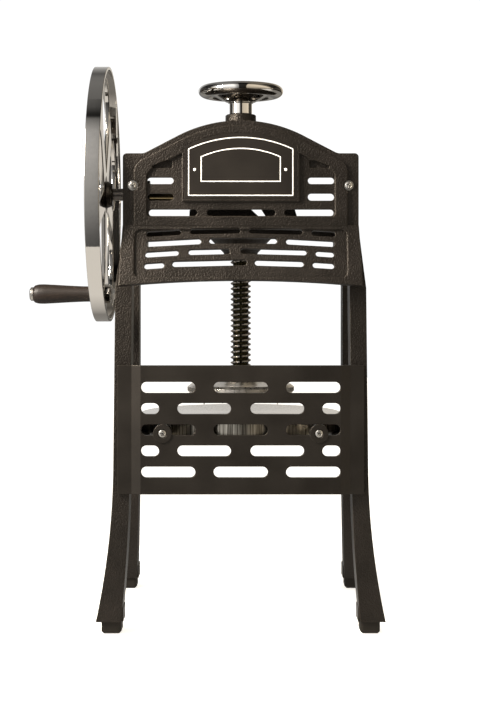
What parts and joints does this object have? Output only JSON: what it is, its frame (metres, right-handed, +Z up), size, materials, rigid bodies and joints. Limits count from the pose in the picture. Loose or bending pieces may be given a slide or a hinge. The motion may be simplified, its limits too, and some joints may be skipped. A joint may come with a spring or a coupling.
{
  "type": "ice shaver with crank",
  "caption": "Hand cranked ice shaver: cast frame on four legs, flywheel with bevel gears turning a feed screw with a spiked disc over a blade table.",
  "frame": {"origin": "on the table surface under the middle of the machine's box, crank included; the spindle axis stands at x = 0.031 m, y = 0", "axes": "+X to the right seen from the front, +Y to the back, +Z up along the spindle; the crank shaft runs along X on the left"},
  "size_m": [0.2816, 0.2074, 0.4414],
  "materials": {
    "cast_black": "cast grain, baked black enamel",
    "panel_black": "satin black powder coat",
    "plate_black": "black anodised, plain border",
    "chrome": "polished chrome plate",
    "screw_steel": "zinc plated",
    "thread_steel": "oiled dark steel",
    "gear_steel": "machined steel",
    "bronze": "sintered bronze",
    "table_metal": "machined and polished",
    "blade_steel": "ground",
    "grip_wood": "dark stained and lacquered",
    "rubber": "matt"
  },
  "bodies": {
    "frame": {"right_side_frame": "cast_black", "left_side_frame": "cast_black", "head_front_panel": "cast_black", "nameplate": "plate_black", "head_roof": "cast_black", "lower_front_panel": "panel_black", "gear_bridge": "cast_black", "shaft_yoke": "cast_black", "blade_table": "table_metal", "blade": "blade_steel", "blade_holder": "table_metal", "blade_screws": "screw_steel", "thrust_washer": "bronze", "gear_retainer": "gear_steel", "retainer_screws": "screw_steel", "shaft_bush": "bronze", "yoke_bush": "bronze", "head_screws": "screw_steel", "panel_screws": "screw_steel", "table_screws": "screw_steel", "bridge_screws": "screw_steel", "yoke_screws": "screw_steel", "roof_screws": "screw_steel", "foot_screws": "screw_steel", "rubber_feet": "rubber"},
    "crank": {"flywheel": "chrome", "flywheel_nut": "chrome", "crank_shaft": "gear_steel", "bevel_pinion": "gear_steel", "pinion_pin": "screw_steel", "grip_bolt": "screw_steel", "grip_nut": "screw_steel"},
    "grip": {"grip": "grip_wood"},
    "spindle": {"drive_sleeve": "gear_steel", "spindle_bevel_gear": "gear_steel", "spindle_key": "gear_steel"},
    "feed_screw": {"feed_screw": "thread_steel", "handwheel": "chrome", "handwheel_cap": "chrome", "ice_clamp_disc": "chrome", "ice_spikes": "chrome", "clamp_pin": "screw_steel"},
    "feed_nut": {"feed_nut": "bronze"}
  },
  "joints": [
    {"name": "crank_turn", "type": "hinge", "parent": "frame", "child": "crank", "pos_m": [-0.0586, 0, 0.338], "axis": [1, 0, 0], "continuous": true},
    {"name": "grip_spin", "type": "hinge", "parent": "crank", "child": "grip", "pos_m": [-0.1126, 0, 0.257], "axis": [1, 0, 0], "continuous": true},
    {"name": "spindle_turn", "type": "hinge", "parent": "frame", "child": "spindle", "pos_m": [0.031, 0, 0.36], "axis": [0, 0, 1], "continuous": true},
    {"name": "screw_feed", "type": "slide", "parent": "spindle", "child": "feed_screw", "axis": [0, 0, 1], "range_m": [0, 0.072]},
    {"name": "nut_turn", "type": "hinge", "parent": "spindle", "child": "feed_nut", "pos_m": [0.031, 0, 0.302], "axis": [0, 0, 1], "range_deg": [-6029.9, 0]}
  ],
  "couplings": [
    {"joint": "spindle_turn", "follows": "crank_turn", "ratio": 0.33333},
    {"joint": "nut_turn", "follows": "screw_feed", "rad_per_m": -1461.2}
  ]
}
